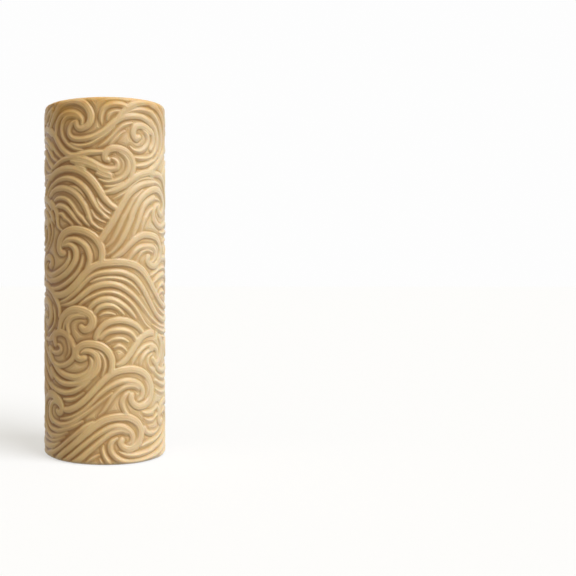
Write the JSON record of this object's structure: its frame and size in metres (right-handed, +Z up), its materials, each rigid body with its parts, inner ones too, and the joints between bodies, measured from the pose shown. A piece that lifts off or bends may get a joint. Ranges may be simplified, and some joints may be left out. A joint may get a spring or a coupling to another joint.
{
  "type": "clay texture roller",
  "caption": "Bare hand roller: a cast sleeve with a wave relief round a hollow core, with end plugs and turning axle bushes, rolled over clay to texture it.",
  "frame": {"origin": "centre of the lower end face, which the roller stands on", "axes": "+Z up the roller's axis, +X to the right and +Y away for a person who sees it as the picture does"},
  "size_m": [0.0531, 0.0529, 0.15],
  "materials": {
    "tan_resin": "glossy translucent cast resin",
    "pale_pipe": "extruded pipe",
    "cream_moulding": "satin moulding",
    "natural_nylon": "natural nylon"
  },
  "bodies": {
    "roller": {"texture_sleeve": "tan_resin", "core_tube": "pale_pipe", "upper_end_plug": "cream_moulding", "lower_end_plug": "cream_moulding"},
    "upper_bush": {"upper_axle_bush": "natural_nylon"},
    "lower_bush": {"lower_axle_bush": "natural_nylon"}
  },
  "joints": [
    {"name": "upper_bush_turn", "type": "hinge", "parent": "roller", "child": "upper_bush", "pos_m": [0, 0, 0.1495], "axis": [0, 0, 1], "continuous": true},
    {"name": "lower_bush_turn", "type": "hinge", "parent": "roller", "child": "lower_bush", "pos_m": [0, 0, 0.0005], "axis": [0, 0, 1], "continuous": true}
  ]
}
